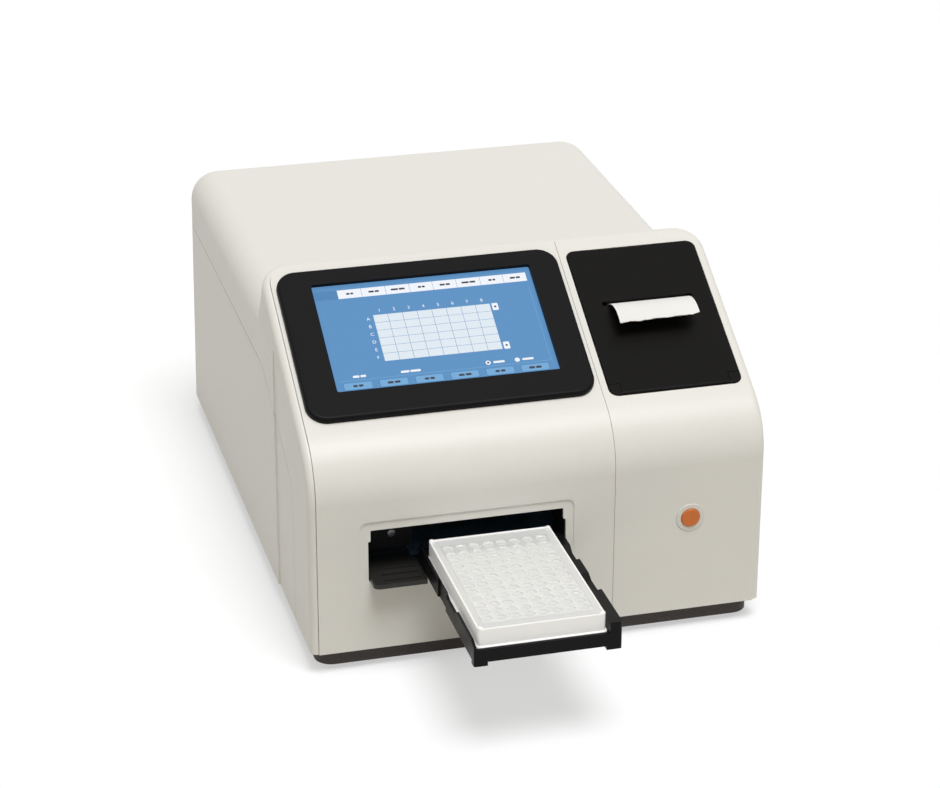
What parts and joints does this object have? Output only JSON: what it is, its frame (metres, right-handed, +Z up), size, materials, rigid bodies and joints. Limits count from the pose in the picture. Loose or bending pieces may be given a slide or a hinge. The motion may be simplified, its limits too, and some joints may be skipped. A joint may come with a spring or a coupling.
{
  "type": "microplate reader",
  "caption": "Benchtop microplate reader: sloping touch-screen console, receipt printer door, power button and a motor-driven plate carrier out of its slot.",
  "frame": {"origin": "centre of the housing's footprint, on the bench under its four rubber feet", "axes": "+X to the operator's right, +Y to the rear, +Z up from the bench"},
  "size_m": [0.316, 0.5852, 0.2333],
  "materials": {
    "housing_white": "fine moulded grain, satin",
    "base_grey": "satin powder coat",
    "black_gloss": "gloss",
    "black_plastic": "matte moulded",
    "carrier_black": "satin moulded",
    "rubber": "matte",
    "sheet_steel": "zinc plated",
    "rear_paint": "fine texture powder coat",
    "steel": "machined",
    "screen_glass": "anti-glare",
    "lcd": "lit display",
    "orange_cap": "satin translucent",
    "ring_white": "satin",
    "paper": "thermal paper",
    "plate_white": "polystyrene",
    "well_clear": "clear polystyrene",
    "aluminium": "anodised",
    "glass": "coated",
    "circuit": "solder mask",
    "bronze_nut": "acetal",
    "gear_plastic": "acetal",
    "roller_rubber": "ground"
  },
  "bodies": {
    "root": {"base_plate": "base_grey", "beam_mounts": "aluminium", "button_ring": "ring_white", "button_switch": "black_plastic", "carrier_motor": "black_plastic", "chassis": "sheet_steel", "circuit_boards": "circuit", "data_ports": "steel", "detector_block": "carrier_black", "display_bezel": "black_gloss", "drive_brackets": "aluminium", "fan_frame": "black_plastic", "fibre_bundle": "black_plastic", "halogen_lamp": "glass", "hinge_pins": "steel", "lamp_housing": "sheet_steel", "lcd_module": "lcd", "lens_bar": "aluminium", "lenses": "glass", "lower_housing": "housing_white", "mains_switch": "black_plastic", "power_inlet": "black_plastic", "power_supply": "sheet_steel", "print_head": "black_plastic", "printer_bucket": "black_plastic", "printer_fascia": "housing_white", "printer_motor": "steel", "rear_panel": "rear_paint", "rubber_feet": "rubber", "screen_fascia": "housing_white", "screw_heads": "steel", "slide_rail": "steel", "touch_glass": "screen_glass", "tray_baffle": "black_plastic", "tray_shroud": "black_plastic", "upper_deck": "sheet_steel", "upper_housing": "housing_white", "wheel_motor": "steel"},
    "carrier": {"plate_carrier": "carrier_black", "plate_spring": "steel", "carrier_arm": "carrier_black", "slide_block": "steel", "lead_nut": "bronze_nut"},
    "microplate": {"microplate_frame": "plate_white", "well_strips": "well_clear"},
    "screw": {"lead_screw": "steel", "screw_coupling": "aluminium"},
    "door": {"printer_door": "black_gloss", "receipt_paper": "paper"},
    "roll": {"paper_roll": "paper", "roll_core": "gear_plastic"},
    "platen": {"platen_roller": "roller_rubber", "platen_shaft": "steel", "platen_gear": "gear_plastic"},
    "pinion": {"pinion_gear": "gear_plastic"},
    "button": {"power_button": "orange_cap"},
    "rocker": {"mains_rocker": "black_plastic"},
    "rotor": {"fan_rotor": "black_plastic"},
    "wheel": {"filter_wheel": "aluminium", "filter_glasses": "glass"}
  },
  "joints": [
    {"name": "carrier_slide", "type": "slide", "parent": "root", "child": "carrier", "axis": [0, -1, 0], "range_m": [-0.25, 0]},
    {"name": "plate_lift", "type": "slide", "parent": "carrier", "child": "microplate", "axis": [0, -0.2334, 0.9724], "range_m": [0, 0.05]},
    {"name": "screw_spin", "type": "hinge", "parent": "root", "child": "screw", "pos_m": [-0.129, 0, 0.059], "axis": [0, 1, 0], "continuous": true},
    {"name": "door_hinge", "type": "hinge", "parent": "root", "child": "door", "pos_m": [0.1024, -0.19687, 0.16692], "axis": [1, 0, 0], "range_deg": [0, 92]},
    {"name": "pinion_spin", "type": "hinge", "parent": "root", "child": "pinion", "pos_m": [0.1024, -0.10283, 0.19465], "axis": [-1, 0, 0], "continuous": true},
    {"name": "platen_spin", "type": "hinge", "parent": "root", "child": "platen", "pos_m": [0.1024, -0.11798, 0.19494], "axis": [-1, 0, 0], "continuous": true},
    {"name": "roll_spin", "type": "hinge", "parent": "root", "child": "roll", "pos_m": [0.1024, -0.15428, 0.15434], "axis": [-1, 0, 0], "continuous": true},
    {"name": "button_press", "type": "slide", "parent": "root", "child": "button", "axis": [0, 1, 0], "range_m": [0, 0.002], "stiffness_N_per_m": 600, "springref_m": -0.001},
    {"name": "rocker_tilt", "type": "hinge", "parent": "root", "child": "rocker", "pos_m": [0.084, 0.22029, 0.077], "axis": [1, 0, 0], "range_deg": [0, 17]},
    {"name": "fan_spin", "type": "hinge", "parent": "root", "child": "rotor", "pos_m": [-0.066, 0.22156, 0.08917], "axis": [0, 0.9956, 0.0938], "continuous": true},
    {"name": "filter_spin", "type": "hinge", "parent": "root", "child": "wheel", "pos_m": [0.0522, 0.013, 0.148], "axis": [1, 0, 0], "continuous": true}
  ],
  "couplings": [
    {"joint": "screw_spin", "follows": "carrier_slide", "rad_per_m": 628.32},
    {"joint": "platen_spin", "follows": "pinion_spin", "ratio": -1.5},
    {"joint": "roll_spin", "follows": "pinion_spin", "ratio": -0.32609}
  ]
}
